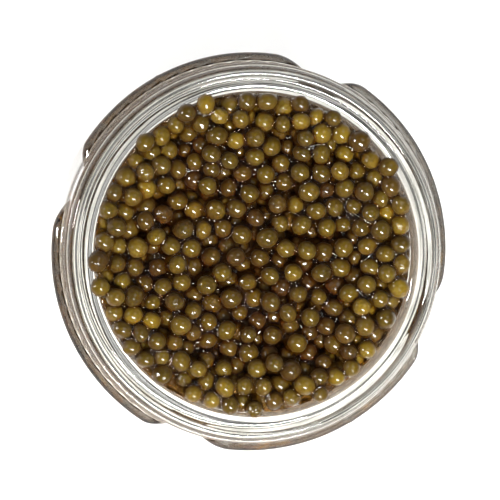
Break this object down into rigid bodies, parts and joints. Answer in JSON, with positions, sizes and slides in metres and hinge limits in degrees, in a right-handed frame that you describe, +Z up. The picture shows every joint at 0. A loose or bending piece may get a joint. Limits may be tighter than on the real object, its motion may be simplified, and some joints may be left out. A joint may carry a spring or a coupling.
{
  "type": "open jar of caviar",
  "caption": "Open clear-glass jar with a four-lug twist-off neck, filled to the rim with olive-brown osetra caviar, seen as round glossy eggs.",
  "frame": {"origin": "the middle of the jar's base, on the surface that it stands on", "axes": "+Z up along the jar's axis to its open mouth; +X to the right and +Y to the top of the view from above, with the four lug gaps at 68, 158, 248 and 338 degrees from +X"},
  "size_m": [0.058, 0.058, 0.036],
  "materials": {
    "jar_glass": "clear moulded flint glass, fire polished",
    "roe": "wet glossy fish eggs, olive brown to golden"
  },
  "bodies": {
    "root": {"glass_jar": "jar_glass", "caviar": "roe"}
  },
  "joints": []
}
